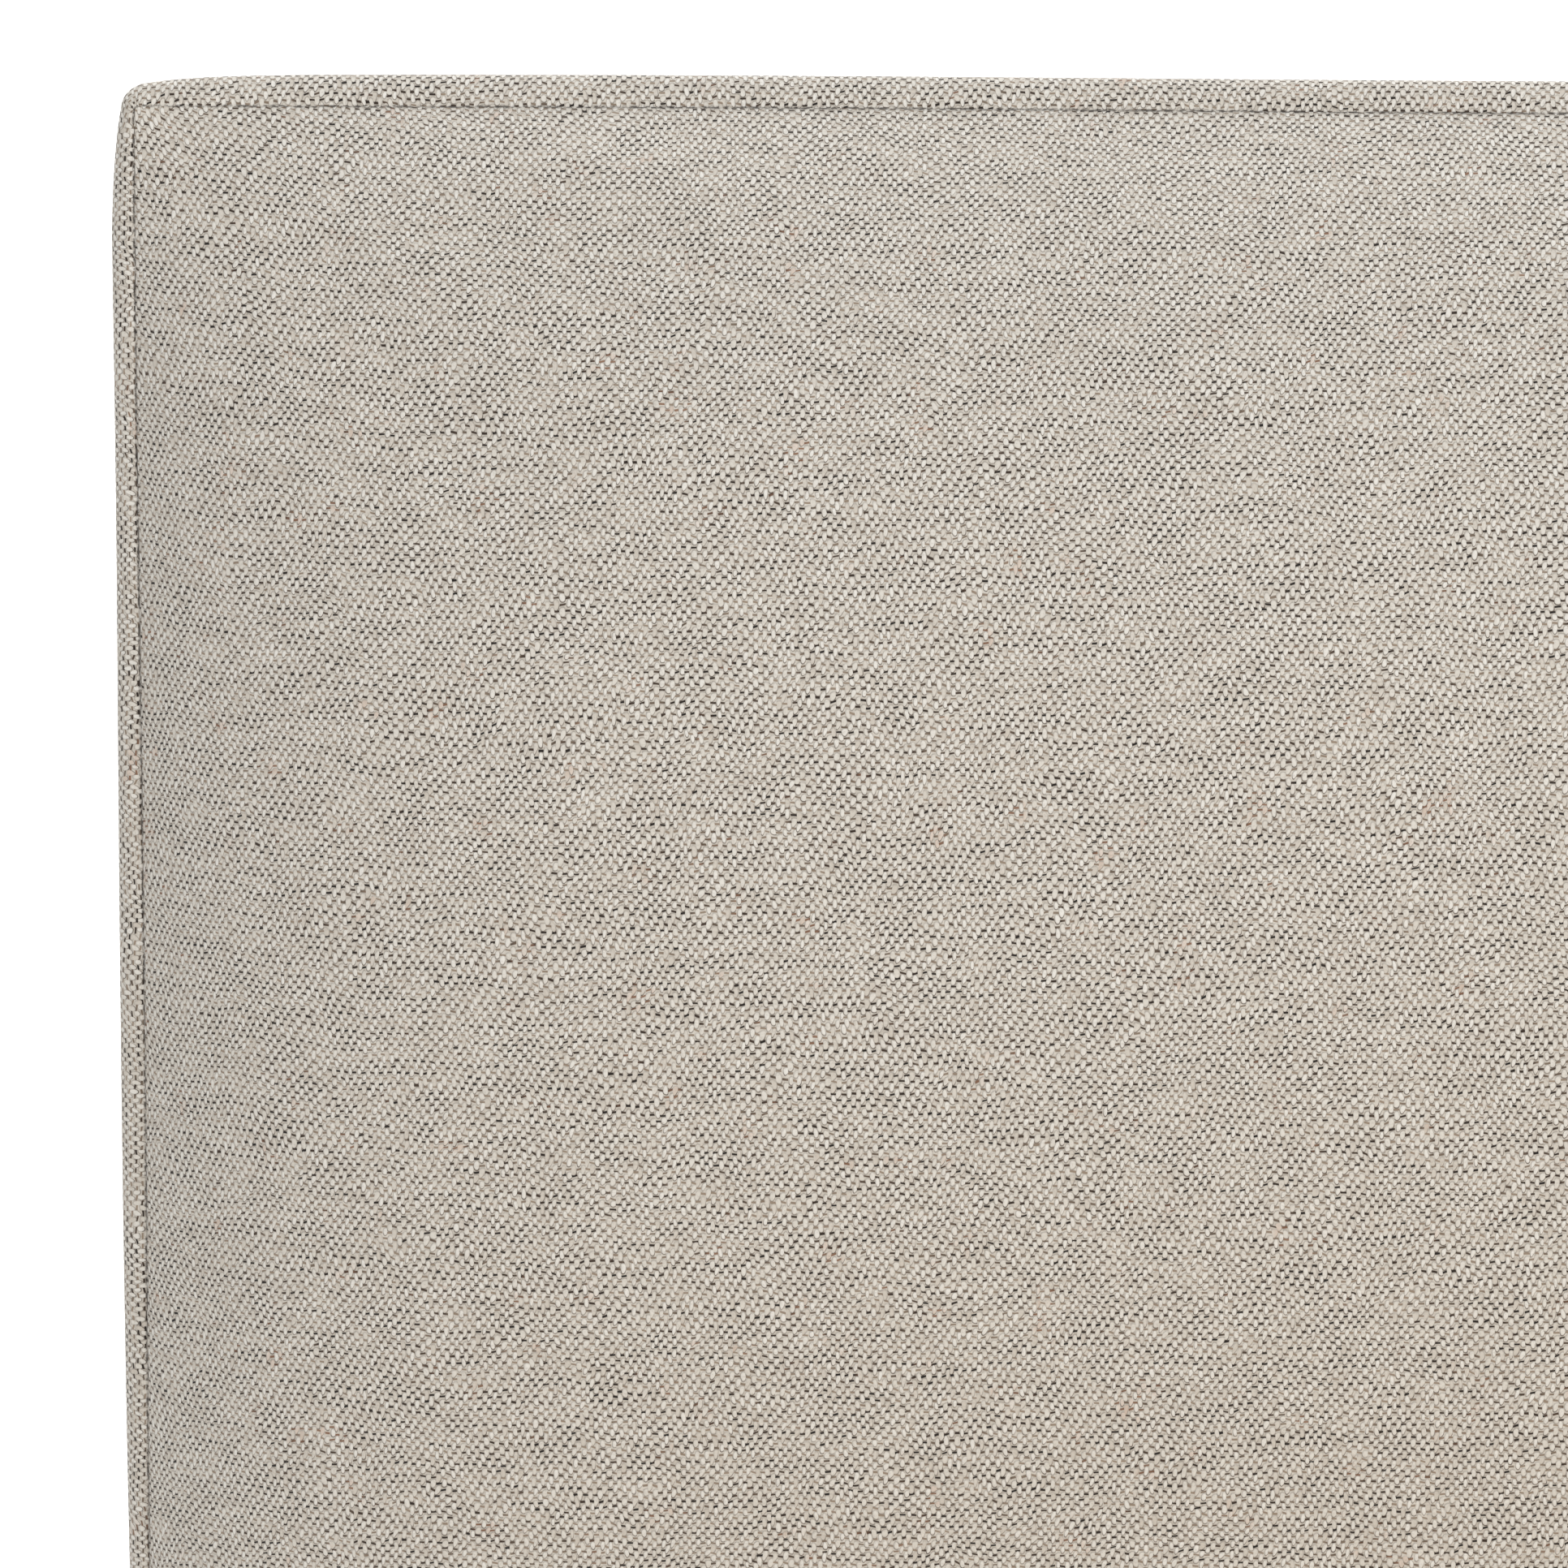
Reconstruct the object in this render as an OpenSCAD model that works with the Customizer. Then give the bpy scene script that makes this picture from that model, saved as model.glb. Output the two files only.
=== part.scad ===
// Upholstered sleigh bed for a queen mattress: swept headboard and footboard,
// padded side rails, slat deck, centre beam and screw-down levelling feet.
// Millimetres. X runs across the bed, Y towards the headboard, Z up.
// The origin is on the floor, in the middle of the whole bed.

/* [Mattress] */
// Width of the mattress
mattress_w = 1524; // [1350:1:1930]
// Length of the mattress
mattress_l = 2032; // [1880:1:2200]
// Clear space on each side of the mattress
mattress_gap = 12; // [5:1:30]

/* [Headboard] */
// Height of the top edge above the floor
head_h = 1180; // [950:1:1400]
// How far the upper part leans back, in degrees
head_lean = 18; // [8:0.5:22]
// Radius of the sweep between the upright and the leaning part
head_bend_r = 1300; // [900:10:1500]
// Height at which the sweep starts
head_bend_z = 600; // [450:1:640]
// Depth of the headboard's timber posts
head_post_d = 60; // [40:1:90]
// How far the middle of the padded face stands out from its seam
head_crown = 85; // [30:1:110]
// Height at which the padded face starts
face_z = 400; // [385:1:440]

/* [Footboard] */
// Height of the top edge above the floor
foot_h = 600; // [500:1:760]
// How far the upper part leans out, in degrees
foot_lean = 18; // [8:0.5:20]
// Radius of the sweep
foot_bend_r = 700; // [350:10:800]
// Height at which the sweep starts
foot_bend_z = 290; // [270:1:320]
// Depth of the footboard's timber posts
foot_post_d = 45; // [35:1:80]
// How far the middle of the outer pad stands out from its seam
foot_crown = 45; // [20:1:70]

/* [Side rails] */
// Thickness of the rail's board
rail_board_t = 25; // [18:1:35]
// Thickness of the padding outside the board
rail_pad_t = 20; // [12:1:35]
// Height of the rail's lower edge
rail_z = 150; // [125:1:155]
// Height of the rail's board
rail_h = 220; // [200:1:225]

/* [Slat deck] */
// Thickness of a slat
slat_t = 18; // [14:1:25]
// Width of a slat
slat_w = 100; // [60:1:115]
// Height of the slats' underside
slat_z = 270; // [255:1:280]
// Side of the square ledger strip under the slat ends
ledger_w = 35; // [25:1:35]
// Width of the centre beam
beam_w = 60; // [40:1:80]
// Height of the centre beam
beam_h = 60; // [50:1:65]

/* [Feet] */
// Height of the corner block feet, with their glides
block_h = 95; // [70:1:115]
// Side of a centre leg
leg_w = 50; // [40:1:60]
// Height of the gap between the floor and a centre leg
leg_z = 40; // [36:1:50]
// Travel of a levelling foot
level_travel = 15; // [8:1:20]

/* [Upholstery] */
// Thickness of the cover fabric with its backing
cover_t = 3; // [2:0.5:5]
// Thickness of the padded boxing round the panels' edges
boxing_t = 8; // [5:1:14]
// Thickness of the padded back and inner covers
lining_t = 6; // [3:1:10]

/* [Hidden] */
LEFT = -1;
RIGHT = 1;
CREAM = [0.75, 0.72, 0.66];
FOAM = [0.93, 0.89, 0.72];
PINE = [0.83, 0.68, 0.47];
PLY = [0.78, 0.62, 0.42];
WALNUT = [0.25, 0.16, 0.10];
STEEL = [0.62, 0.63, 0.65];
BLACK = [0.08, 0.08, 0.08];

slat_count = 12;
leg_count = 2;
rib_count = 3;
bend_steps = 10;       // flats that make up a sweep
crown_steps = 7;       // steps of a padded crown towards its sides
crown_flats = 26;      // flats of a padded crown from its foot to its top
crown_reach_head = 60; // distance over which the headboard's crown rises
crown_reach_foot = 34;
post_w = 80;
seam_t = 5;            // thickness of a padded face at its seam
face_gap = 2;          // between the padded face and the cover below it
skin_t = 6;            // bent plywood front
back_skin_t = 4;
rib_t = 18;
top_rail_h = 60;
bottom_rail_z = block_h + 15;
bottom_rail_h = 140;
bottom_rail_d = 34;
play = 0.1;            // clearance round a screw
eps = 0.5;
same = 0.01;           // lengths closer than this are the same

// Widths
inner_hw = mattress_w / 2 + mattress_gap;
rail_out = inner_hw + rail_board_t + rail_pad_t;
post_out = rail_out - boxing_t;
post_in = post_out - post_w;

// Sweeps of the two panels: [height where the sweep starts, its radius, its full lean]
head_sweep = [head_bend_z, head_bend_r, head_lean];
foot_sweep = [foot_bend_z, foot_bend_r, foot_lean];

function arc_length(p) = p[1] * p[2] * PI / 180;

// The lean of a panel at the distance s along it from the floor
function lean_at(s, p) = s <= p[0] ? 0 : min(p[2], (s - p[0]) / p[1] * 180 / PI);

// The panel's reference line: [how far it has swept back, height]
function reference(s, p) =
    let (a = lean_at(s, p), over = max(0, s - p[0] - arc_length(p)))
    s <= p[0] ? [0, s]
    : [p[1] * (1 - cos(a)) + over * sin(a), p[0] + p[1] * sin(a) + over * cos(a)];

// A point n in front of the reference line
function side_point(s, n, p) =
    let (a = lean_at(s, p)) reference(s, p) + n * [-cos(a), sin(a)];

// The distance along a panel at which its reference line is z high
function s_at(z, p) =
    p[0] + arc_length(p) + (z - p[0] - p[1] * sin(p[2])) / cos(p[2]);

function sorted(list) = len(list) < 2 ? list : concat(
    sorted([for (k = [1:len(list) - 1]) if (list[k] < list[0]) list[k]]),
    [list[0]],
    sorted([for (k = [1:len(list) - 1]) if (list[k] > list[0] + same) list[k]]));

function reversed(list) = [for (k = [len(list) - 1:-1:0]) list[k]];

function between(list, low, high) = [for (v = list) if (v > low + same && v < high - same) v];

// Everywhere along a panel that its surface bends or one of its pieces ends,
// so that pieces that touch share the same corners
function marks(top, p) = sorted(concat(
    [block_h, bottom_rail_z, bottom_rail_z + bottom_rail_h, top - top_rail_h, top, top + boxing_t],
    [for (k = [0:bend_steps]) p[0] + arc_length(p) * k / bend_steps]));

function stations(s0, s1, p) = concat([s0], between(p[3], s0, s1), [s1]);

// A padded crown rises steeply at its seam and flattens towards the middle:
// its height at a distance from the seam, and a side step's distance and height
function crown_height(d, height, reach) = height * (1 - exp(-d / reach));
function crown_inset(k, reach) = -reach * ln(1 - (k + 0.5) / crown_steps);
function crown_rise(k, height) = height * (k + 1) / crown_steps;

// Distances from s0 to s1, closer together towards both ends
function eased(s0, s1) =
    [for (k = [0:crown_flats]) (s0 + s1) / 2 - (s1 - s0) / 2 * cos(180 * k / crown_flats)];

// Distances along the two panels
head_top = s_at(head_h - boxing_t * cos(head_lean), head_sweep);
foot_top = s_at(foot_h - boxing_t * cos(foot_lean), foot_sweep);

// Depths behind the panels' reference surfaces
head_post_back = -skin_t - head_post_d;
head_skin_back = head_post_back - back_skin_t;
head_back = head_skin_back - lining_t;
foot_post_back = -skin_t - foot_post_d;
foot_back = foot_post_back - skin_t;

// Panels: their sweeps, their marks along them, and the depths at which their layers meet
HEAD = concat(head_sweep, [sorted(concat([face_z], marks(head_top, head_sweep))),
                           [head_back, head_skin_back, head_post_back, -skin_t, 0]]);
FOOT = concat(foot_sweep, [marks(foot_top, foot_sweep), [foot_back, foot_post_back, -skin_t, 0]]);

// Lengths: from the headboard's reference surface to the footboard's
frame_l = head_crown + mattress_gap + mattress_l + mattress_gap + lining_t;
head_reach = side_point(head_top + boxing_t, head_back, HEAD)[0];
foot_reach = max([for (s = eased(block_h, foot_top + boxing_t))
    side_point(s, foot_back - crown_height(foot_top + boxing_t - s, foot_crown, crown_reach_foot),
               FOOT)[0]]);
head_y = round(5 * (frame_l + foot_reach - head_reach)) / 10;
foot_y = head_y - frame_l;
rail_head_y = head_y - cover_t;
rail_foot_y = foot_y + lining_t;
rail_l = rail_head_y - rail_foot_y;
rail_mid_y = (rail_head_y + rail_foot_y) / 2;
rail_top = rail_z + rail_h;

// Slats
slat_play = 4;         // at each end of a slat
slat_l = 2 * (inner_hw - slat_play);
slat_end_gap = 12;
slat_pitch = (rail_l - 2 * slat_end_gap - slat_w) / (slat_count - 1);
function slat_y(k) = rail_foot_y + slat_end_gap + slat_w / 2 + k * slat_pitch;
ledger_in = inner_hw - ledger_w;
slat_screw_x = inner_hw - ledger_w / 2;
strap_x = inner_hw / 2;
strap_w = 38;
strap_t = 1.5;
strap_end = 6;         // from a strap's end to the outer slat's edge
lip_t = 2;             // the rail cover's lip inside the board
lip_gap = 2;           // between that lip and the slats

// Corner brackets and their bolts
bracket_t = 5;
bracket_leg = 65;
bracket_h = 70;
bracket_z = rail_z + 10;
bolt_r = 4;
bolt_hole_r = 4.25;
bolt_head_r = 7;
bolt_head_h = 4.5;
bolt_edge = 17;        // from a bracket's upper and lower edges
bolt_levels = [bracket_z + bolt_edge, bracket_z + bracket_h - bolt_edge];
rail_bolt_y = 34;      // from the rail's end
rail_bolt_l = rail_board_t - 3 + bracket_t;
post_bolt_x = post_in + 19;
post_bolt_l = 55;
socket_r = 2.6;
socket_depth = 3;

// Beam brackets
beam_z = slat_z - beam_h;
beam_gap = 0.5;
cup_t = 2.5;
cup_wall = 40;
cup_wing = 30;         // the plate's width beside the beam
cup_drop = 16;         // the plate's depth under the beam
cup_rise = 40;
cup_screw_x = beam_w / 2 + 17;
cup_screw_levels = [beam_z - 6, beam_z + 30];

// Wood screws, countersunk
screw_r = 2.25;
screw_head_r = 4.2;
screw_head_h = 2.4;
screw_l = 32;
screw_sink = 0.2;      // how far a head lies under the slat's top

// Corner feet
glide_h = 5;
glide_r = 14;
block_bolt_r = 5;
block_bolt_l = 80;
block_top = [post_w, 58];
block_taper = 9;

// Levelling feet
stud_r = 5;
stud_hole_r = 5.3;
stud_grip = 45;        // what stays in the leg when the foot is screwed right out
stud_top = leg_z + level_travel + stud_grip;
stud_end_gap = 4;
stud_hex_r = 9;
stud_hex_h = 8;
ball_r = 6;
ball_z = 9;
ball_play = 0.15;
neck_r = 4;
neck_play = 0.5;
pad_r = 25;
pad_t = 5;
hub_r = 11;
hub_top = ball_z + 5;
tnut_flange_r = 12;
tnut_flange_t = 1.5;
tnut_r = 6.8;
tnut_l = 10;
tnut_bore_r = 5.05;
function leg_y(k) = rail_foot_y + rail_l * (k + 1) / (leg_count + 1);

function numbered(name, count) = [for (k = [1:count]) str(name, "_", k)];

// ---- Shapes that repeat ----

// A box from one corner to the other
module block(low, high) {
    translate(low) cube(high - low);
}

// A slab of a swept panel, between two distances along it, two depths and two widths
module slab(s0, s1, n0, n1, x0, x1, p) {
    along = stations(s0, s1, p);
    layers = between(p[4], n0, n1);
    translate([x0, 0, 0]) rotate([90, 0, 90]) linear_extrude(x1 - x0)
        polygon(concat([for (s = along) side_point(s, n1, p)],
                       [for (n = reversed(layers)) side_point(s1, n, p)],
                       [for (s = reversed(along)) side_point(s, n0, p)],
                       [for (n = layers) side_point(s0, n, p)]));
}

// A padded crown standing out from depth n in direction way, smaller all round by skin
module crown(s0, s1, hw, n, way, height, reach, skin, p) {
    back = stations(s0 + skin, s1 - skin, p);
    front = eased(s0 + skin, s1 - skin);
    for (k = [0:crown_steps - 1]) {
        step_hw = hw - crown_inset(k, reach) - skin;
        translate([-step_hw, 0, 0]) rotate([90, 0, 90]) linear_extrude(2 * step_hw)
            polygon(concat(
                [for (s = front)
                    let (d = min(s - s0, s1 - s) - skin)
                    side_point(s, n + way * (min(crown_rise(k, height),
                        crown_height(d, height, reach) + seam_t) - skin), p)],
                reversed([for (s = back) side_point(s, n, p)])));
    }
}

// The band round the top and sides of a panel
module boxing(s0, top, back, p) {
    difference() {
        slab(s0, top + boxing_t, back, 0, -rail_out, rail_out, p);
        slab(s0 - 1, top, back - 1, 1, -post_out, post_out, p);
    }
}

// Places a child at the headboard, or turned about at the footboard
module at_head() {
    translate([0, head_y, 0]) children();
}

module at_foot() {
    translate([0, foot_y, 0]) mirror([0, 1, 0]) children();
}

// A child drawn for the right side is put on the given side
module on_side(side) {
    if (side == RIGHT) children();
    else mirror([1, 0, 0]) children();
}

module both_sides() {
    for (side = [LEFT, RIGHT]) on_side(side) children();
}

// A child drawn for the rails' head end, at its place and mirrored to the foot end
module both_ends() {
    children();
    translate([0, 2 * rail_mid_y, 0]) mirror([0, 1, 0]) children();
}

// A countersunk screw along -Z with the top of its head at the origin; grow makes its hole
module screw(grow = 0) {
    translate([0, 0, -screw_head_h])
        cylinder(h = screw_head_h, r1 = screw_r + grow, r2 = screw_head_r + grow, $fn = 32);
    translate([0, 0, -screw_l - grow])
        cylinder(h = screw_l - screw_head_h + grow, r = screw_r + grow, $fn = 32);
}

module slat_screws(k, grow = 0) {
    both_sides() translate([slat_screw_x, slat_y(k), slat_z + slat_t - screw_sink]) screw(grow);
}

// The screws that hold a beam bracket, at the head end
module cup_screws(grow = 0) {
    for (x = [-cup_screw_x, cup_screw_x], z = cup_screw_levels)
        translate([x, rail_head_y - cup_t, z]) rotate([90, 0, 0]) screw(grow);
}

// A button-head bolt along +Z, with its head below the origin and a hexagon socket
module bolt(length) {
    difference() {
        union() {
            translate([0, 0, -bolt_head_h]) cylinder(h = bolt_head_h, r = bolt_head_r, $fn = 40);
            cylinder(h = length, r = bolt_r, $fn = 32);
        }
        translate([0, 0, -bolt_head_h - eps])
            cylinder(h = socket_depth + eps, r = socket_r, $fn = 6);
    }
}

// The bolts' places at the right corner of the head end, drawn by the children:
// the first goes into the rail's board, the second into the post
module rail_bolt_places() {
    for (z = bolt_levels)
        translate([inner_hw - bracket_t, rail_head_y - rail_bolt_y, z]) rotate([0, 90, 0]) children();
}

module post_bolt_places() {
    for (z = bolt_levels)
        translate([post_bolt_x, rail_head_y - bracket_t, z]) rotate([-90, 0, 0]) children();
}

module post_bolt_holes(depth) {
    both_sides() post_bolt_places()
        translate([0, 0, -eps]) cylinder(h = depth + 2 * eps, r = bolt_hole_r, $fn = 32);
}

// Vertical bolt holes through a block foot into its post, at a panel's post middle
module block_bolt_place(depth_mid) {
    translate([(post_in + post_out) / 2, -depth_mid, block_h - block_bolt_l / 2]) children();
}

module block_bolt_hole(depth_mid) {
    block_bolt_place(depth_mid) translate([0, 0, -play])
        cylinder(h = block_bolt_l + 2 * play, r = block_bolt_r + play, $fn = 32);
}

// ---- Headboard ----
head_post_mid = -skin_t - head_post_d / 2;
foot_post_mid = -skin_t - foot_post_d / 2;

module head_post(side) {
    color(PINE) difference() {
        at_head() on_side(side) difference() {
            slab(block_h, head_top, head_post_back, -skin_t, post_in, post_out, HEAD);
            block_bolt_hole(head_post_mid);
        }
        post_bolt_holes(post_bolt_l + bracket_t);
    }
}

// Bent ribs between the posts, from the bottom rail up to the top rail
module ribs(top, back, p) {
    for (k = [1:rib_count]) {
        x = -post_in + 2 * post_in * k / (rib_count + 1);
        slab(bottom_rail_z + bottom_rail_h, top - top_rail_h, back, -skin_t,
             x - rib_t / 2, x + rib_t / 2, p);
    }
}

module top_rail(top, back, p) {
    slab(top - top_rail_h, top, back, -skin_t, -post_in, post_in, p);
}

module bottom_rail(p) {
    slab(bottom_rail_z, bottom_rail_z + bottom_rail_h, -skin_t - bottom_rail_d, -skin_t,
         -post_in, post_in, p);
}

module head_ribs() {
    color(PLY) at_head() ribs(head_top, head_post_back, HEAD);
}

module head_top_rail() {
    color(PINE) at_head() top_rail(head_top, head_post_back, HEAD);
}

module head_bottom_rail() {
    color(PINE) difference() {
        at_head() bottom_rail(HEAD);
        cup_screws(play);
    }
}

module head_front_skin() {
    color(PLY) difference() {
        at_head() slab(block_h, head_top, -skin_t, 0, -post_out, post_out, HEAD);
        post_bolt_holes(post_bolt_l);
        cup_screws(play);
    }
}

module head_back_skin() {
    color(PLY) at_head()
        slab(block_h, head_top, head_skin_back, head_post_back, -post_out, post_out, HEAD);
}

module head_foam() {
    color(FOAM) at_head()
        crown(face_z, head_top + boxing_t, rail_out, 0, 1, head_crown, crown_reach_head, cover_t, HEAD);
}

module head_face_cover() {
    color(CREAM) at_head() difference() {
        crown(face_z, head_top + boxing_t, rail_out, 0, 1, head_crown, crown_reach_head, 0, HEAD);
        crown(face_z, head_top + boxing_t, rail_out, 0, 1, head_crown, crown_reach_head, cover_t, HEAD);
    }
}

module head_apron_cover() {
    color(CREAM) difference() {
        at_head() slab(block_h, face_z - face_gap, 0, cover_t, -rail_out, rail_out, HEAD);
        post_bolt_holes(post_bolt_l);
        cup_screws(play);
    }
}

module head_boxing_cover() {
    color(CREAM) at_head() boxing(block_h, head_top, head_back, HEAD);
}

module head_back_cover() {
    color(CREAM) at_head()
        slab(block_h, head_top, head_back, head_skin_back, -post_out, post_out, HEAD);
}

// A tapered corner foot, standing on its glide, under a post
module corner_block(side, depth_mid) {
    x = (post_in + post_out) / 2;
    half = block_top / 2;
    color(WALNUT) on_side(side) difference() {
        translate([x, -depth_mid, 0]) intersection() {
            rotate([90, 0, 0]) linear_extrude(2 * block_top[1], center = true)
                polygon([[-half[0] + block_taper, glide_h], [half[0] - block_taper, glide_h],
                         [half[0], block_h], [-half[0], block_h]]);
            rotate([90, 0, 90]) linear_extrude(2 * block_top[0], center = true)
                polygon([[-half[1] + block_taper, glide_h], [half[1] - block_taper, glide_h],
                         [half[1], block_h], [-half[1], block_h]]);
        }
        block_bolt_hole(depth_mid);
    }
}

module head_block(side) {
    at_head() corner_block(side, head_post_mid);
}

// ---- Footboard ----
module foot_post(side) {
    color(PINE) difference() {
        at_foot() on_side(side) difference() {
            slab(block_h, foot_top, foot_post_back, -skin_t, post_in, post_out, FOOT);
            block_bolt_hole(foot_post_mid);
        }
        foot_bolt_holes(post_bolt_l + bracket_t);
    }
}

// The post bolts' holes and the bracket screws' holes at the foot end
module foot_bolt_holes(depth) {
    translate([0, 2 * rail_mid_y, 0]) mirror([0, 1, 0]) post_bolt_holes(depth);
}

module foot_cup_screws(grow = 0) {
    translate([0, 2 * rail_mid_y, 0]) mirror([0, 1, 0]) cup_screws(grow);
}

module foot_ribs() {
    color(PLY) at_foot() ribs(foot_top, foot_post_back, FOOT);
}

module foot_top_rail() {
    color(PINE) at_foot() top_rail(foot_top, foot_post_back, FOOT);
}

module foot_bottom_rail() {
    color(PINE) difference() {
        at_foot() bottom_rail(FOOT);
        foot_cup_screws(play);
    }
}

module foot_inner_skin() {
    color(PLY) difference() {
        at_foot() slab(block_h, foot_top, -skin_t, 0, -post_out, post_out, FOOT);
        foot_bolt_holes(post_bolt_l);
        foot_cup_screws(play);
    }
}

module foot_outer_skin() {
    color(PLY) at_foot()
        slab(block_h, foot_top, foot_back, foot_post_back, -post_out, post_out, FOOT);
}

module foot_foam() {
    color(FOAM) at_foot()
        crown(block_h, foot_top + boxing_t, rail_out, foot_back, -1, foot_crown,
              crown_reach_foot, cover_t, FOOT);
}

module foot_outer_cover() {
    color(CREAM) at_foot() difference() {
        crown(block_h, foot_top + boxing_t, rail_out, foot_back, -1, foot_crown,
              crown_reach_foot, 0, FOOT);
        crown(block_h, foot_top + boxing_t, rail_out, foot_back, -1, foot_crown,
              crown_reach_foot, cover_t, FOOT);
    }
}

module foot_inner_cover() {
    color(CREAM) difference() {
        at_foot() slab(block_h, foot_top + boxing_t, 0, lining_t, -rail_out, rail_out, FOOT);
        foot_bolt_holes(post_bolt_l);
        foot_cup_screws(play);
    }
}

module foot_boxing_cover() {
    color(CREAM) at_foot() boxing(block_h, foot_top, foot_back, FOOT);
}

module foot_block(side) {
    at_foot() corner_block(side, foot_post_mid);
}

// ---- Side rails ----
module rail_board(side) {
    color(PLY) on_side(side) difference() {
        block([inner_hw, rail_foot_y, rail_z], [inner_hw + rail_board_t, rail_head_y, rail_top]);
        both_ends() rail_bolt_places() translate([0, 0, -eps])
            cylinder(h = rail_bolt_l + play + eps, r = bolt_hole_r, $fn = 32);
    }
}

// Padding and cover: outside the board, over its edges and down inside to the slats
module rail_cover(side) {
    lip_z = slat_z + slat_t + lip_gap;
    color(CREAM) on_side(side) difference() {
        block([inner_hw - lip_t, rail_foot_y, rail_z - cover_t],
              [rail_out, rail_head_y, rail_top + cover_t]);
        block([inner_hw, rail_foot_y - 1, rail_z], [inner_hw + rail_board_t, rail_head_y + 1, rail_top]);
        block([inner_hw - lip_t - 1, rail_foot_y - 1, rail_z - cover_t - 1],
              [inner_hw, rail_head_y + 1, lip_z]);
    }
}

module ledger(side) {
    color(PINE) difference() {
        on_side(side) block([ledger_in, rail_foot_y, slat_z - ledger_w], [inner_hw, rail_head_y, slat_z]);
        for (k = [0:slat_count - 1]) slat_screws(k, play);
    }
}

// ---- Fittings ----
module corner_bracket() {
    difference() {
        union() {
            block([inner_hw - bracket_t, rail_head_y - bracket_leg, bracket_z],
                  [inner_hw, rail_head_y, bracket_z + bracket_h]);
            block([inner_hw - bracket_leg, rail_head_y - bracket_t, bracket_z],
                  [inner_hw, rail_head_y, bracket_z + bracket_h]);
        }
        rail_bolt_places() translate([0, 0, -eps])
            cylinder(h = bracket_t + 2 * eps, r = bolt_hole_r, $fn = 32);
        post_bolt_places() translate([0, 0, -eps])
            cylinder(h = bracket_t + 2 * eps, r = bolt_hole_r, $fn = 32);
    }
}

module corner_brackets() {
    color(STEEL) both_ends() both_sides() corner_bracket();
}

module corner_bolts() {
    color(STEEL) both_ends() both_sides() {
        rail_bolt_places() bolt(rail_bolt_l);
        post_bolt_places() bolt(post_bolt_l);
    }
}

// A steel cup that carries one end of the centre beam
module beam_cup() {
    y = rail_head_y;
    difference() {
        union() {
            block([-beam_w / 2 - cup_wing, y - cup_t, beam_z - cup_drop],
                  [beam_w / 2 + cup_wing, y, beam_z + cup_rise]);
            block([-beam_w / 2 - cup_t, y - cup_wall, beam_z - cup_t],
                  [beam_w / 2 + cup_t, y, beam_z + cup_rise]);
        }
        block([-beam_w / 2, y - cup_wall - eps, beam_z],
              [beam_w / 2, y - cup_t, beam_z + cup_rise + eps]);
        cup_screws(play);
    }
}

module beam_brackets() {
    color(STEEL) both_ends() beam_cup();
}

module wood_screws() {
    color(STEEL) {
        for (k = [0:slat_count - 1]) slat_screws(k);
        both_ends() cup_screws();
    }
}

// Nylon glides under the corner feet
module floor_glides() {
    color(BLACK) {
        at_head() both_sides() glide(head_post_mid);
        at_foot() both_sides() glide(foot_post_mid);
    }
}

module glide(depth_mid) {
    translate([(post_in + post_out) / 2, -depth_mid, 0]) cylinder(h = glide_h, r = glide_r, $fn = 48);
}

module block_bolts() {
    color(STEEL) {
        at_head() both_sides() block_bolt_place(head_post_mid) block_bolt();
        at_foot() both_sides() block_bolt_place(foot_post_mid) block_bolt();
    }
}

module block_bolt() {
    cylinder(h = block_bolt_l, r = block_bolt_r, $fn = 32);
}

// ---- Slat deck ----
module slat(k) {
    color(PINE) difference() {
        block([-slat_l / 2, slat_y(k) - slat_w / 2, slat_z],
              [slat_l / 2, slat_y(k) + slat_w / 2, slat_z + slat_t]);
        slat_screws(k, play);
    }
}

module slat_webbing() {
    color(BLACK) both_sides()
        block([strap_x - strap_w / 2, slat_y(0) - slat_w / 2 + strap_end, slat_z - strap_t],
              [strap_x + strap_w / 2, slat_y(slat_count - 1) + slat_w / 2 - strap_end, slat_z]);
}

module center_beam() {
    color(PINE) block([-beam_w / 2, rail_foot_y + cup_t + beam_gap, beam_z],
                      [beam_w / 2, rail_head_y - cup_t - beam_gap, slat_z]);
}

module center_leg(k) {
    color(PINE) translate([0, leg_y(k), 0]) difference() {
        block([-leg_w / 2, -leg_w / 2, leg_z], [leg_w / 2, leg_w / 2, beam_z]);
        translate([0, 0, leg_z - eps]) {
            cylinder(h = stud_top - leg_z + stud_end_gap, r = stud_hole_r, $fn = 48);
            cylinder(h = tnut_flange_t + eps, r = tnut_flange_r, $fn = 48);
            cylinder(h = tnut_l + eps, r = tnut_r, $fn = 48);
        }
    }
}

// Flanged nuts in the centre legs that the levelling studs turn in
module leveler_tnuts() {
    color(STEEL) for (k = [0:leg_count - 1]) translate([0, leg_y(k), leg_z]) difference() {
        union() {
            cylinder(h = tnut_flange_t, r = tnut_flange_r - play, $fn = 48);
            cylinder(h = tnut_l, r = tnut_r - play, $fn = 48);
        }
        translate([0, 0, -eps]) cylinder(h = tnut_l + 2 * eps, r = tnut_bore_r, $fn = 48);
    }
}

// A levelling stud: ball end, spanner flats and threaded shank, drawn plain
module leveler_stud(k) {
    color(STEEL) translate([0, leg_y(k), 0]) {
        translate([0, 0, ball_z]) sphere(r = ball_r, $fn = 48);
        translate([0, 0, ball_z]) cylinder(h = leg_z - ball_z - stud_hex_h, r = neck_r, $fn = 48);
        translate([0, 0, leg_z - stud_hex_h - eps]) cylinder(h = stud_hex_h, r = stud_hex_r, $fn = 6);
        translate([0, 0, leg_z - stud_hex_h])
            cylinder(h = stud_top - leg_z + stud_hex_h, r = stud_r, $fn = 48);
    }
}

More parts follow.
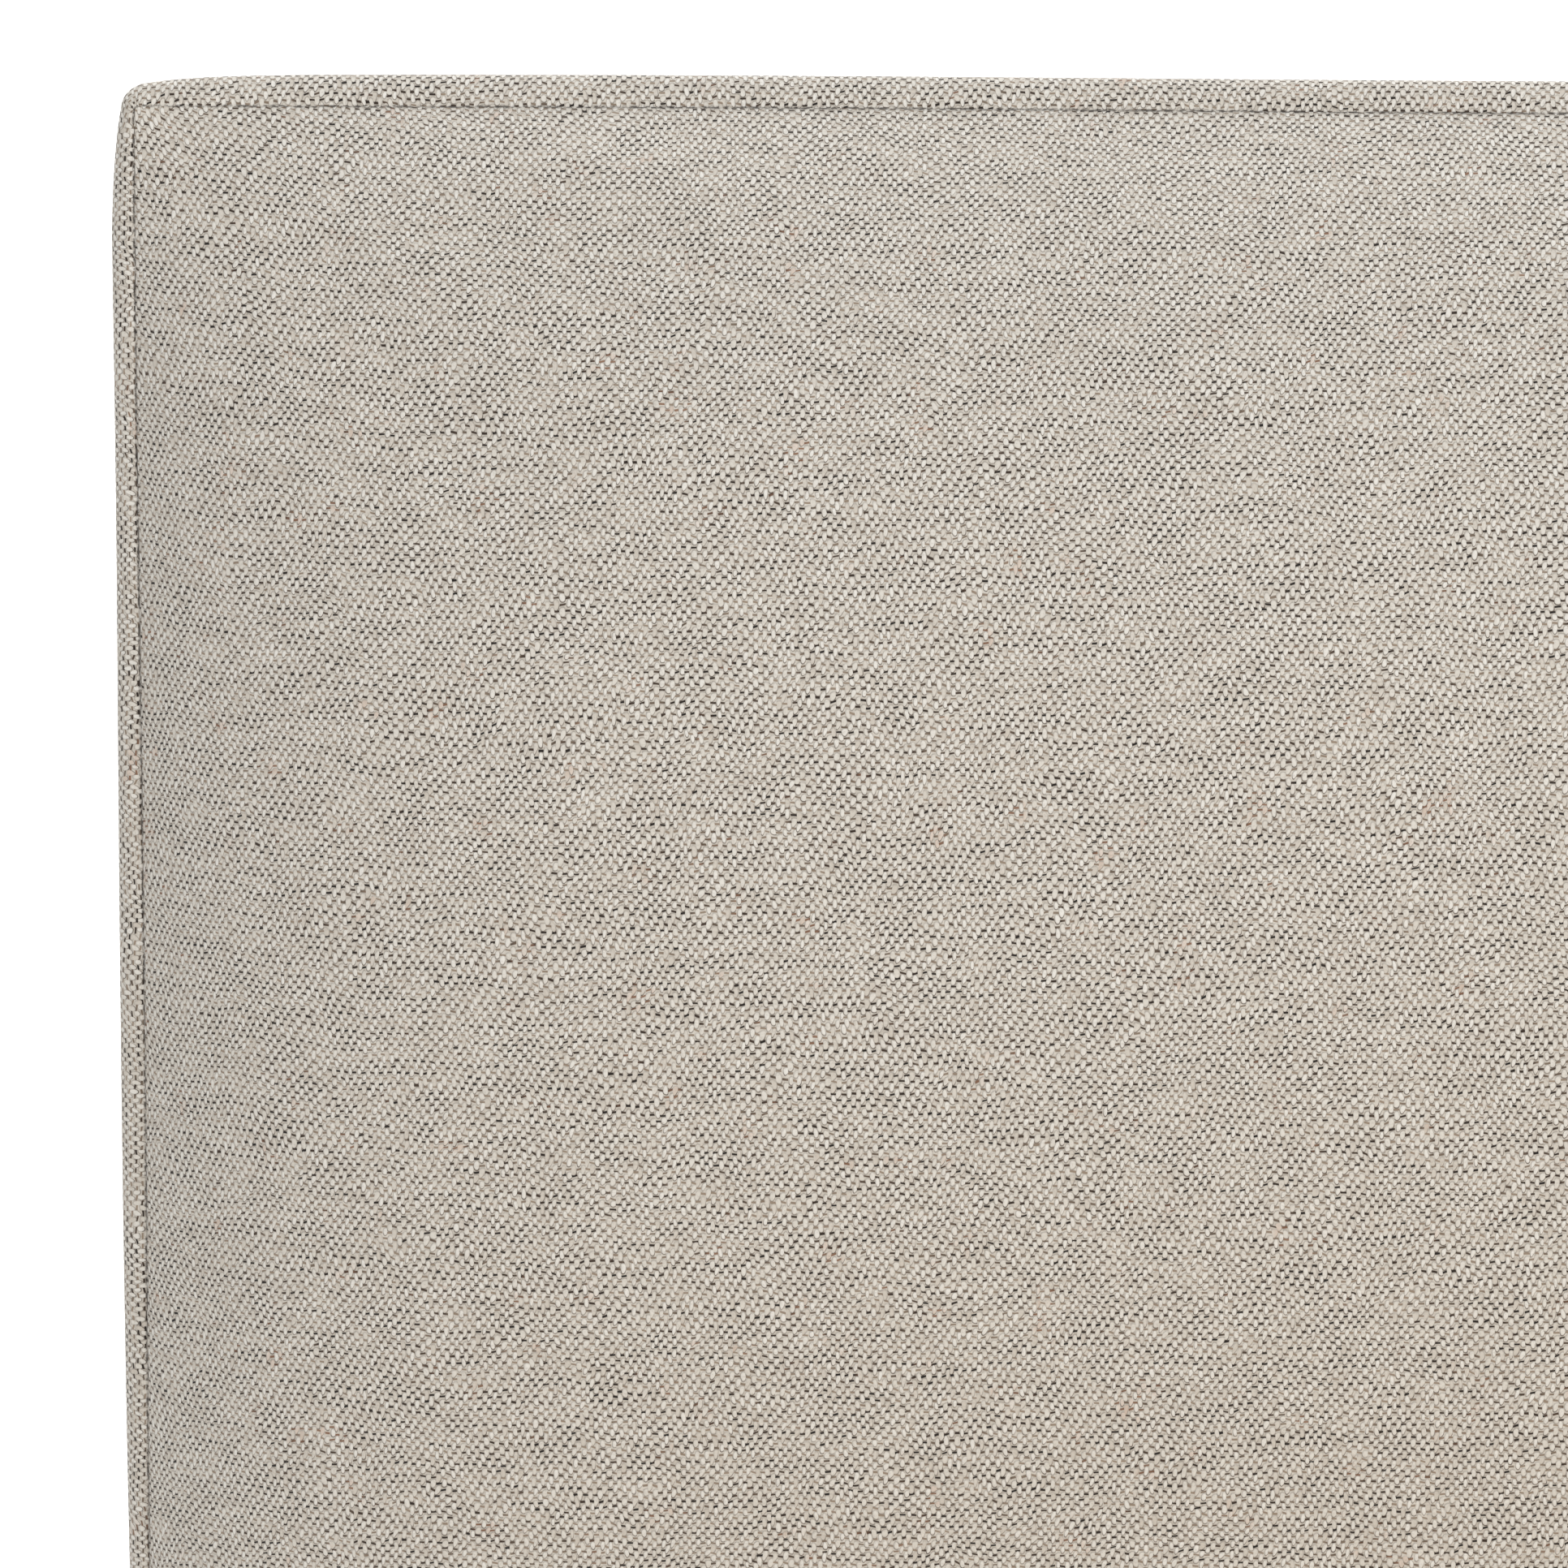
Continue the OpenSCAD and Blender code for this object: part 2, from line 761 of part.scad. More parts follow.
// The swivel pad that the stud's ball turns in
module leveler_pad(k) {
    color(BLACK) translate([0, leg_y(k), 0]) difference() {
        union() {
            cylinder(h = pad_t, r = pad_r, $fn = 64);
            cylinder(h = hub_top, r = hub_r, $fn = 48);
        }
        translate([0, 0, ball_z]) {
            sphere(r = ball_r + ball_play, $fn = 48);
            cylinder(h = hub_top, r = neck_r + neck_play, $fn = 48);
        }
    }
}

// ---- Drawing ----
head_post(LEFT);  // head_post_left
head_post(RIGHT);  // head_post_right
head_ribs();
head_top_rail();
head_bottom_rail();
head_front_skin();
head_back_skin();
head_foam();
head_face_cover();
head_apron_cover();
head_boxing_cover();
head_back_cover();
head_block(LEFT);  // head_block_left
head_block(RIGHT);  // head_block_right
foot_post(LEFT);  // foot_post_left
foot_post(RIGHT);  // foot_post_right
foot_ribs();
foot_top_rail();
foot_bottom_rail();
foot_inner_skin();
foot_outer_skin();
foot_foam();
foot_inner_cover();
foot_outer_cover();
foot_boxing_cover();
foot_block(LEFT);  // foot_block_left
foot_block(RIGHT);  // foot_block_right
rail_board(LEFT);  // rail_board_left
rail_board(RIGHT);  // rail_board_right
rail_cover(LEFT);  // rail_cover_left
rail_cover(RIGHT);  // rail_cover_right
ledger(LEFT);  // ledger_left
ledger(RIGHT);  // ledger_right
corner_brackets();
corner_bolts();
beam_brackets();
wood_screws();
floor_glides();
block_bolts();
leveler_tnuts();
center_beam();
slat_webbing();
for (k = [0:slat_count - 1])
    slat(k);
for (k = [0:leg_count - 1]) {
    center_leg(k);
    leveler_stud(k);
    leveler_pad(k);
}
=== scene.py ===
"""The looks of the upholstered sleigh bed: tweed covers over crowned pads, timber, steel and the studio."""
import math

import bmesh
import bpy
import numpy as np
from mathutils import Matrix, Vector


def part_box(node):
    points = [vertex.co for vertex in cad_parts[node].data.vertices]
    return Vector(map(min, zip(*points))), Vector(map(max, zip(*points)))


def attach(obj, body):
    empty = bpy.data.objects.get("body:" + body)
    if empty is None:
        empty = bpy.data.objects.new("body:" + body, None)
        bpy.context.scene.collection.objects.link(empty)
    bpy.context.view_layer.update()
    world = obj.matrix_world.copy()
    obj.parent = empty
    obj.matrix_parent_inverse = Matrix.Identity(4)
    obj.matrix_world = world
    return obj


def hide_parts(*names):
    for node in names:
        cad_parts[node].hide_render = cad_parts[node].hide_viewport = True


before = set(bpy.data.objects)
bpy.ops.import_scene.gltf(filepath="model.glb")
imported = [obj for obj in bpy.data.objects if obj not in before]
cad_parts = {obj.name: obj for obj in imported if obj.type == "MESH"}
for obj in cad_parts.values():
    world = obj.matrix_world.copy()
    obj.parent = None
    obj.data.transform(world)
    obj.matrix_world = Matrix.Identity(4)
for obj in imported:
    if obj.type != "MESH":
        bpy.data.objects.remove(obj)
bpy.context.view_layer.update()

MM = 0.001

# ---- The two swept panels, as part.scad draws them ----

HEAD_SWEEP = (0.600, 1.300, math.radians(18))  # height where it starts, radius, full lean
FOOT_SWEEP = (0.290, 0.700, math.radians(18))
FACE_LOW = 0.400         # where the headboard's padded face starts
PANEL_LOW = 0.095        # lower edge of both panels
LINING, APRON = 6 * MM, 3 * MM
HEAD_DEPTH = 76 * MM     # from the reference surface to the back
FOOT_DEPTH = 57 * MM     # from the reference surface to the outer pad's back
HEAD_CROWN, FOOT_CROWN = 94 * MM, 45 * MM
SEAM_OUT = 1.5 * MM      # the seam lies this far outside the posts
COVER = 3 * MM           # fabric and wadding over the foam
# The side seams swing out and in: by how much, over what length, and over what length the swing fades
DRIFT, DRIFT_LENGTH, DRIFT_FADE = 1.8 * MM, 0.34, 0.9
# The top seam sinks towards the middle: by how much, from where, and over what length
SAG, SAG_START, SAG_LENGTH = 1.5 * MM, 0.15, 0.40


def step(t):
    """A smooth step from 0 to 1 as t goes from 0 to 1."""
    t = np.clip(t, 0, 1)
    return t * t * (3 - 2 * t)


class Panel:
    """s runs up the panel's reference surface from the floor, n stands out from it to the mattress."""

    def __init__(self, front_y, way, sweep, top_z, half_width):
        self.front_y, self.way = front_y, way
        self.start, self.radius, self.lean = sweep
        self.half_width = half_width
        bent_z = self.start + self.radius * math.sin(self.lean)
        self.top = self.start + self.radius * self.lean + (top_z - bent_z) / math.cos(self.lean)

    def drift(self, s):
        down = self.top - s
        return DRIFT * np.cos(np.pi * down / DRIFT_LENGTH) * np.exp(-np.maximum(down, 0) / DRIFT_FADE)

    def point(self, x, s, n):
        x, s, n = np.broadcast_arrays(x, s, n)
        share = step((self.half_width - abs(x) - SAG_START) / SAG_LENGTH)
        x = x * (1 + self.drift(s) / self.half_width)
        s = s - SAG * share * np.clip(s / self.top, 0, 1)
        a = np.clip((s - self.start) / self.radius, 0, self.lean)
        over = np.maximum(0, s - self.start - self.radius * self.lean)
        back = self.radius * (1 - np.cos(a)) + over * np.sin(a) - n * np.cos(a)
        up = np.minimum(s, self.start) + self.radius * np.sin(a) + over * np.cos(a) + n * np.sin(a)
        return np.stack([x, self.front_y + self.way * back, up], -1)


skin_low, skin_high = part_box("head_front_skin")
HEAD = Panel(skin_low.y, 1, HEAD_SWEEP, skin_high.z, skin_high.x)
skin_low, skin_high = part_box("foot_inner_skin")
FOOT = Panel(skin_high.y, -1, FOOT_SWEEP, skin_high.z, skin_high.x)

# ---- Meshes from grids of points ----

UNSEWN = 1.0             # distance given to places with no seam


def lengths(points, axis):
    """Distance along a grid's lines from their middle."""
    gaps = np.linalg.norm(np.diff(points, axis=axis), axis=-1)
    total = np.concatenate([np.zeros_like(gaps.take([0], axis)), np.cumsum(gaps, axis)], axis)
    return total - total.take([total.shape[axis] // 2], axis)


def eased(low, high, count, pull=0.78):
    """Places from low to high, closer together towards both ends."""
    t = np.linspace(0, 1, count)
    return low + (high - low) * (t - pull * np.sin(2 * np.pi * t) / (2 * np.pi))


def grid_faces(rows, columns, start=0, turned=False, closed=False):
    """Quads of a grid of rows by columns, whose last column joins the first if it is closed."""
    i, j = np.meshgrid(np.arange(rows - 1), np.arange(columns - (0 if closed else 1)), indexing="ij")
    k = (j + 1) % columns
    quads = np.stack([i * columns + j, i * columns + k, (i + 1) * columns + k, (i + 1) * columns + j], -1)
    quads = quads.reshape(-1, 4) + start
    return (quads[:, ::-1] if turned else quads).tolist()


def end_caps(rows, columns, turned):
    """The faces that close the first and the last row of a closed grid."""
    caps = [list(range(columns)), [(rows - 1) * columns + k for k in range(columns)][::-1]]
    return [cap[::-1] for cap in caps] if turned else caps


def rim(rows, columns):
    """Indices once round the edge of a grid."""
    return np.concatenate([np.arange(columns), np.arange(1, rows) * columns + columns - 1,
                           (rows - 1) * columns + np.arange(columns - 2, -1, -1),
                           np.arange(rows - 2, 0, -1) * columns])


def wall_faces(ring, below, turned):
    """Quads between the indices of a ring and those of the same ring below it."""
    quads = np.stack([ring, below, np.roll(below, -1), np.roll(ring, -1)], -1)
    return (quads[:, ::-1] if turned else quads).tolist()


def make_mesh(name, points, faces, weave, seam=None):
    """A smooth mesh that carries its cloth coordinates and its distance to the nearest seam."""
    mesh = bpy.data.meshes.new(name)
    mesh.from_pydata([tuple(p) for p in points.reshape(-1, 3)], [], faces)
    cloth = mesh.attributes.new("weave", "FLOAT_VECTOR", "POINT")
    cloth.data.foreach_set("vector", np.asarray(weave, np.float32).ravel())
    if seam is None:
        seam = np.full(len(mesh.vertices), UNSEWN)
    distance = mesh.attributes.new("seam", "FLOAT", "POINT")
    distance.data.foreach_set("value", np.asarray(seam, np.float32).ravel())
    mesh.shade_smooth()
    mesh.update()
    obj = bpy.data.objects.new(name, mesh)
    bpy.context.scene.collection.objects.link(obj)
    return obj


def finish_piece(obj, material, node):
    """Give a piece its material, hang it on the bed's body and hide the CAD node that it takes the place of."""
    obj.data.materials.append(material)
    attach(obj, "bed")
    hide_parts(node)


# ---- Cloth ----

CLOTH_FRAMES = 20
CLOTH_SETTINGS = {"quality": 5, "mass": 0.4, "tension_stiffness": 25, "compression_stiffness": 25,
                  "shear_stiffness": 12, "bending_stiffness": 4, "use_pressure": True,
                  "vertex_group_mass": "seam"}


def inflate(name, points, faces, pinned, cap, pressure=4.0):
    """Points of a cover after its foam has pushed it out for a moment, moved by at most about cap."""
    flat = points.reshape(-1, 3)
    mesh = bpy.data.meshes.new(name)
    mesh.from_pydata([tuple(p) for p in flat], [], faces)
    obj = bpy.data.objects.new(name, mesh)
    bpy.context.scene.collection.objects.link(obj)
    group = obj.vertex_groups.new(name="seam")
    group.add([int(i) for i in np.flatnonzero(pinned.ravel())], 1.0, "REPLACE")
    cloth = obj.modifiers.new("Cloth", "CLOTH")
    for key, value in CLOTH_SETTINGS.items():
        setattr(cloth.settings, key, value)
    cloth.settings.uniform_pressure_force = pressure
    cloth.settings.effector_weights.gravity = 0
    cloth.point_cache.frame_start, cloth.point_cache.frame_end = 1, CLOTH_FRAMES
    for number in range(1, CLOTH_FRAMES + 1):
        bpy.context.scene.frame_set(number)
    shown = obj.evaluated_get(bpy.context.evaluated_depsgraph_get()).to_mesh()
    moved = np.zeros(len(flat) * 3)
    shown.vertices.foreach_get("co", moved)
    bpy.data.objects.remove(obj)
    bpy.context.scene.frame_set(1)
    shift = moved.reshape(-1, 3) - flat
    size = np.linalg.norm(shift, axis=1, keepdims=True)
    shift *= cap * np.tanh(size / cap) / np.maximum(size, 1e-9)
    return (flat + shift).reshape(points.shape)


# ---- Padded faces ----

# Slope at the seam, and reach, of each part of a crown's curve
SIDE_CROWN = ((0.6, 12 * MM), (1.0, 75 * MM))
END_CROWN = ((0.3, 6 * MM), (1.0, 60 * MM), (0.1, 240 * MM))
SEAM_N = 4 * MM          # how far a padded face stands out at its seam
SLACK = 0.97             # share of its height that a cover starts with, before its foam pushes it out
GROOVE, GROOVE_REACH = 0.45 * MM, 0.5 * MM
NEAR_SEAM = np.array([0.4, 1.0]) * MM   # extra lines of the mesh beside a seam
SEWN = 1.2 * MM          # width of the strip beside a seam that stays put
LID = 0.3 * MM           # a pad's flat back stands this far off the panel
MERGE_DISTANCE = 1e-6


def seamed(low, high, count):
    """Places from low to high, closer together towards both ends, with the lines beside the seams."""
    places = eased(low, high, count - 2 * len(NEAR_SEAM))
    return np.sort(np.concatenate([places, low + NEAR_SEAM, high - NEAR_SEAM]))


def rise(d, parts):
    """Share of a crown's height at the distance d from its seam."""
    return sum(k * r * (1 - np.exp(-d / r)) for k, r in parts) / sum(k * r for k, r in parts)


def padded_face(name, panel, s_low, n_back, way, crown, reach_scale, columns, rows, cap=0.0, inset=0.0):
    """A crowned pad between its seams, on the side of the panel that way points to.
    Its foam pushes a cover out by up to cap. inset makes it smaller all round, for the foam itself."""
    side = panel.half_width + SEAM_OUT - inset
    x = seamed(-side, side, columns)[None, :]
    s = seamed(s_low + inset, panel.top + SEAM_OUT - inset, rows)[:, None]
    dx = side - abs(x)
    ds = np.minimum(s - s[0], s[-1] - s)
    seam_d = np.minimum(dx, ds)
    side_parts = [(k, r * reach_scale) for k, r in SIDE_CROWN]
    end_parts = [(k, r * reach_scale) for k, r in END_CROWN]
    height = SEAM_N - inset + (crown - SEAM_N) * rise(dx, side_parts) * rise(ds, end_parts)
    if not inset:
        height = height * SLACK
    front = panel.point(x, s, n_back + way * height)
    turned = way * panel.way < 0
    faces = grid_faces(rows, columns, turned=turned)
    if not inset:
        front = inflate(name + "_sim", front, faces, seam_d < SEWN, cap)
        groove = way * panel.way * GROOVE * np.exp(-seam_d / GROOVE_REACH)
        front = front + np.stack([0 * groove, groove, 0 * groove], -1)
    # The pad's wall under its seam and its flat back make it a closed form
    ring = rim(rows, columns)
    total = rows * columns
    lid_points = panel.point(x, s, n_back + way * LID).reshape(-1, 3)
    points = np.concatenate([front.reshape(-1, 3), lid_points[ring], lid_points])
    all_faces = faces + wall_faces(ring, np.arange(len(ring)) + total, turned)
    all_faces += grid_faces(rows, columns, start=total + len(ring), turned=not turned)
    u, v = lengths(front, 1), lengths(front, 0)
    weave = np.stack([u, v, 0 * u], -1).reshape(-1, 3)
    flat_weave = np.stack(np.broadcast_arrays(x, s, 0.0), -1).reshape(-1, 3)
    weave = np.concatenate([weave, weave[ring], flat_weave])
    seam = np.concatenate([seam_d.ravel(), np.zeros(len(ring)), np.full(total, UNSEWN)])
    obj = make_mesh(name, points, all_faces, weave, seam)
    merge_close(obj)
    return obj


def merge_close(obj):
    """Join a mesh's points that lie on each other, as along the foot of a pad's wall."""
    work = bmesh.new()
    work.from_mesh(obj.data)
    bmesh.ops.remove_doubles(work, verts=work.verts, dist=MERGE_DISTANCE)
    work.to_mesh(obj.data)
    work.free()
    obj.data.shade_smooth()


# ---- Boxing ----

# How far it stands outside the seam: at a corner, how much more along an edge, and how much more on top
BOX_THIN, BOX_PUFF, BOX_TOP = 6.6 * MM, 3.4 * MM, 0.9 * MM
PUFF_REACH = 20 * MM
# It thins again down the sides: by how much, from where and over what length
SIDE_SLACK, SLACK_START, SLACK_REACH = 2.9 * MM, 40 * MM, 100 * MM
BOX_ROUND = 7 * MM
CORNER_R = 2 * MM
BOX_BELLY = 1.2 * MM
BOX_INNER = 1.3 * MM
# The front edge steps back below the face: from how far below its lower edge, and over what length
STEP_BELOW, STEP_LENGTH = 5 * MM, 15 * MM


def outline(panel, s_low):
    """The seam up one side, over the top and down the other.
    Gives columns of x, s, the direction out in x and in s, and the distance to a corner."""
    x, top, r = panel.half_width + SEAM_OUT, panel.top + SEAM_OUT, CORNER_R
    side = eased(s_low, top - r, 110, 0.9)
    across = eased(-x + r, x - r, 190, 0.85)
    turn = np.linspace(0, np.pi / 2, 9)[1:-1]
    parts = [
        (np.full_like(side, -x), side, np.full_like(side, -1.0), 0 * side, top - side),
        (-x + r - r * np.cos(turn), top - r + r * np.sin(turn), -np.cos(turn), np.sin(turn), 0 * turn),
        (across, np.full_like(across, top), 0 * across, 1 + 0 * across, x - abs(across)),
        (x - r + r * np.sin(turn), top - r + r * np.cos(turn), np.sin(turn), np.cos(turn), 0 * turn),
        (np.full_like(side, x), side[::-1], 1 + 0 * side, 0 * side, (top - side)[::-1]),
    ]
    return [np.concatenate(c)[:, None] for c in zip(*parts)]


def boxing(name, panel, s_low, n_front, n_back, low_n=None):
    """The strip round a panel's top and sides, sewn to the faces on both sides of it.
    n_front is its seam nearer to the mattress, and low_n that seam's place below the padded face."""
    x, s, out_x, out_s, corner = outline(panel, s_low)
    width = BOX_THIN + BOX_PUFF * (1 - np.exp(-corner / PUFF_REACH))
    width = width + BOX_TOP * np.maximum(out_s, 0) - panel.drift(s) * abs(out_x)
    width = width - SIDE_SLACK * abs(out_x) * (1 - np.exp(-np.maximum(corner - SLACK_START, 0) / SLACK_REACH))
    front = n_front + 0 * s
    if low_n is not None:
        front = low_n + (n_front - low_n) * step((s - FACE_LOW + STEP_BELOW) / STEP_LENGTH)
    turn = np.linspace(0, np.pi / 2, 10)[None, :]
    flat = np.linspace(0, 1, 12)[None, 1:-1]
    deep = front - n_back - 2 * BOX_ROUND
    out = np.concatenate([width * np.sin(turn), width + 0 * flat, width * np.cos(turn)], 1)
    n = np.concatenate([front - BOX_ROUND * (1 - np.cos(turn)), front - BOX_ROUND - deep * flat,
                        n_back + BOX_ROUND * (1 - np.sin(turn)) + 0 * front], 1)
    depth = (front - n) / (front - n_back)
    out = out + BOX_BELLY * np.sin(np.pi * depth) * (1 - np.exp(-corner / PUFF_REACH))
    edge = np.minimum(np.linalg.norm(np.stack([out, front - n]), axis=0),
                      np.linalg.norm(np.stack([out, n - n_back]), axis=0))
    sink = GROOVE * np.exp(-edge / GROOVE_REACH)
    n = n + np.where(depth < 0.5, -sink, sink)
    inner_out = np.concatenate([out, -BOX_INNER + 0 * front, -BOX_INNER + 0 * front], 1)
    inner_n = np.concatenate([n, n_back + GROOVE + 0 * front, front - GROOVE], 1)
    points = panel.point(x + out_x * inner_out, s + out_s * inner_out, inner_n)
    rows, columns = points.shape[:2]
    along = lengths(points[:, columns // 2:columns // 2 + 1], 0)
    across = lengths(points[:, :-2], 1)
    across = np.concatenate([across, across[:, -1:], across[:, :1]], 1)
    weave = np.stack([np.broadcast_to(along, across.shape), across, 0 * across], -1)
    seam = np.concatenate([edge, np.zeros((rows, 2))], 1)
    turned = panel.way < 0
    faces = grid_faces(rows, columns, closed=True, turned=turned) + end_caps(rows, columns, not turned)
    return make_mesh(name, points, faces, weave, seam)


# ---- Flat covers ----

# A flat cover's thickness at its edge, and how fast it thickens from there
EDGE_THICK, EDGE_REACH = 1.5 * MM, 4.5 * MM
COVER_BACK = 0.2 * MM    # its back stands this far off the panel


def flat_cover(name, panel, s_low, s_high, side, n_back, thickness, way):
    """A thin padded cover with soft edges, for the backs and for behind the mattress."""
    x = eased(-side, side, 90, 0.93)[None, :]
    s = eased(s_low, s_high, 60, 0.93)[:, None]
    d = np.minimum(side - abs(x), np.minimum(s - s_low, s_high - s))
    height = EDGE_THICK + (thickness - EDGE_THICK) * (1 - np.exp(-d / EDGE_REACH))
    front = panel.point(x, s, n_back + way * height)
    back = panel.point(x, s, n_back + way * COVER_BACK)
    rows, columns = front.shape[:2]
    turned = way * panel.way < 0
    total = rows * columns
    ring = rim(rows, columns)
    faces = grid_faces(rows, columns, turned=turned) + wall_faces(ring, ring + total, turned)
    faces += grid_faces(rows, columns, start=total, turned=not turned)
    u, v = lengths(front, 1), lengths(front, 0)
    weave = np.stack([u, v, 0 * u], -1).reshape(-1, 3)
    seam = d + 0 * u
    points = np.concatenate([front.reshape(-1, 3), back.reshape(-1, 3)])
    seam = np.concatenate([seam.ravel(), np.full(total, UNSEWN)])
    return make_mesh(name, points, faces, np.concatenate([weave, weave]), seam)


# ---- Materials ----


class Graph:
    """A material's node tree, written as short expressions."""

    def __init__(self, name):
        self.material = bpy.data.materials.new(name)
        self.material.use_nodes = True
        self.tree = self.material.node_tree
        self.shader = self.tree.nodes["Principled BSDF"]

    def node(self, kind, output=0, sockets=None, **settings):
        made = self.tree.nodes.new(kind)
        for key, value in settings.items():
            setattr(made, key, value)
        for key, value in (sockets or {}).items():
            self.put(made.inputs[key], value)
        return made.outputs[output]

    def put(self, socket, value):
        if isinstance(value, bpy.types.NodeSocket):
            self.tree.links.new(value, socket)
        else:
            socket.default_value = value

    def math(self, operation, *values):
        return self.node("ShaderNodeMath", sockets=dict(enumerate(values)), operation=operation)

    def vector(self, x, y, z=0.0):
        return self.node("ShaderNodeCombineXYZ", sockets={0: x, 1: y, 2: z})

    def split(self, value):
        made = self.tree.nodes.new("ShaderNodeSeparateXYZ")
        self.put(made.inputs[0], value)
        return made.outputs

    def attribute(self, name, output="Vector"):
        return self.node("ShaderNodeAttribute", output, attribute_name=name)

    def smooth(self, value, low, high):
        """0 below low and 1 above high, or the other way round where low is above high."""
        return self.node("ShaderNodeMapRange", sockets={0: value, 1: low, 2: high},
                         interpolation_type="SMOOTHSTEP")

    def white(self, vector):
        return self.node("ShaderNodeTexWhiteNoise", sockets={0: vector}, noise_dimensions="3D")

    def noise(self, vector, scale, detail=2.0, rough=0.5):
        return self.node("ShaderNodeTexNoise", sockets={"Vector": vector, "Scale": scale,
                                                        "Detail": detail, "Roughness": rough})

    def mix(self, share, a, b):
        made = self.tree.nodes.new("ShaderNodeMix")
        made.data_type = "RGBA"
        for index, value in ((0, share), (6, a), (7, b)):
            self.put(made.inputs[index], value)
        return made.outputs[2]

    def bump(self, height, distance, strength=1.0):
        return self.node("ShaderNodeBump", sockets={"Height": height, "Distance": distance,
                                                    "Strength": strength})

    def finish(self, colour, roughness, normal=None, **uniform):
        self.put(self.shader.inputs["Base Color"], colour)
        self.put(self.shader.inputs["Roughness"], roughness)
        if normal is not None:
            self.put(self.shader.inputs["Normal"], normal)
        for key, value in uniform.items():
            self.shader.inputs[key.replace("_", " ").title()].default_value = value
        return self.material


def rgb(red, green, blue):
    """A colour from its sRGB values of 0 to 255."""
    return tuple(c / 255 / 12.92 if c < 10.3 else ((c / 255 + 0.055) / 1.055) ** 2.4
                 for c in (red, green, blue)) + (1.0,)


WARP_PITCH, WEFT_PITCH = 1.62 * MM, 2.04 * MM
SLANT = math.tan(math.radians(3))       # the warp leans a little on its panel
OVAL_POWER = 2.3         # a float's outline: 2 would be an ellipse, more is squarer


def tweed():
    """Chunky plain weave: pale oval warp floats, staggered, with a dash of heathered weft above and below each."""
    g = Graph("Tweed")
    x, y, _ = g.split(g.attribute("weave"))
    place = g.vector(x, y)
    other_place = g.vector(y, x, 0.7)
    sway = g.math("SUBTRACT", g.noise(place, 120.0, 1.0), 0.5)
    lift = g.math("SUBTRACT", g.noise(other_place, 110.0, 1.0), 0.5)
    slow_sway = g.math("SUBTRACT", g.noise(place, 24.0, 1.0), 0.5)
    slow_lift = g.math("SUBTRACT", g.noise(other_place, 26.0, 1.0), 0.5)
    x = g.math("MULTIPLY_ADD", y, SLANT, x)
    x = g.math("MULTIPLY_ADD", sway, 1.5 * WARP_PITCH, x)
    x = g.math("MULTIPLY_ADD", slow_sway, 3.5 * WARP_PITCH, x)
    y = g.math("MULTIPLY_ADD", lift, 1.3 * WEFT_PITCH, y)
    y = g.math("MULTIPLY_ADD", slow_lift, 3.0 * WEFT_PITCH, y)
    across = g.math("DIVIDE", x, WARP_PITCH)
    column = g.math("FLOOR", across)
    half = g.math("MULTIPLY", g.math("FLOORED_MODULO", column, 2.0), 0.5)
    up = g.math("ADD", g.math("DIVIDE", y, 2 * WEFT_PITCH), half)
    row = g.math("FLOOR", up)
    chance = g.white(g.vector(column, row))
    other = g.white(g.vector(row, column, 7.0))
    third = g.white(g.vector(row, column, 19.0))
    fx = g.math("SUBTRACT", g.math("FRACT", across), 0.5)
    fy = g.math("SUBTRACT", g.math("FRACT", up), 0.5)
    # The warp floats: each leans a little and differs in size and place
    lean = g.math("MULTIPLY_ADD", other, 0.85, -0.10)
    wx = g.math("SUBTRACT", fx, g.math("MULTIPLY", fy, lean))
    wx = g.math("ADD", wx, g.math("MULTIPLY_ADD", third, 0.34, -0.17))
    wy = g.math("ADD", fy, g.math("MULTIPLY_ADD", chance, 0.18, -0.09))
    wide = g.math("MULTIPLY_ADD", chance, 0.16, 0.40)
    wide = g.math("ADD", wide, g.math("MULTIPLY", wy, g.math("MULTIPLY_ADD", other, 0.9, -0.35)))
    long = g.math("MULTIPLY_ADD", third, 0.10, 0.28)
    far = g.math("ADD", g.math("POWER", g.math("ABSOLUTE", g.math("DIVIDE", wx, wide)), OVAL_POWER),
                 g.math("POWER", g.math("ABSOLUTE", g.math("DIVIDE", wy, long)), OVAL_POWER))
    oval = g.smooth(far, 1.2, 0.8)
    # The weft shows as a dash between one float and the next in its column
    weft_row = g.math("ROUND", g.math("DIVIDE", y, WEFT_PITCH))
    gap = g.white(g.vector(column, g.math("FLOOR", g.math("ADD", up, 0.5)), 3.0))
    tilt = g.math("MULTIPLY", fx, g.math("MULTIPLY_ADD", gap, 0.22, -0.11))
    depth = g.math("SUBTRACT", g.math("SUBTRACT", g.math("FRACT", g.math("ADD", up, 0.5)), 0.5), tilt)
    depth = g.math("ABSOLUTE", depth)
    dash = g.math("MULTIPLY", g.smooth(depth, 0.12, 0.05), g.smooth(g.math("ABSOLUTE", fx), 0.62, 0.48))
    slub_place = g.vector(g.math("MULTIPLY", x, 62.0), g.math("MULTIPLY", weft_row, 7.31))
    slub = g.smooth(g.noise(slub_place, 1.0, 2.0), 0.38, 0.60)
    cloud = g.noise(g.vector(g.math("MULTIPLY", x, 48.0), g.math("MULTIPLY", y, 95.0)), 1.0, 4.0, 0.6)
    heather = g.smooth(cloud, 0.34, 0.70)
    dark = g.math("MULTIPLY_ADD", heather, 0.14, g.math("MULTIPLY", gap, 0.36))
    dark = g.math("MULTIPLY_ADD", slub, 0.66, dark)
    weft = g.mix(g.smooth(dark, 0.15, 0.85), rgb(146, 130, 113), rgb(60, 44, 32))
    weft = g.mix(g.smooth(dark, 0.66, 1.1), weft, rgb(20, 13, 9))
    side = g.mix(g.math("MULTIPLY_ADD", slub, 0.35, g.math("MULTIPLY", heather, 0.20)),
                 rgb(212, 206, 196), rgb(166, 156, 143))
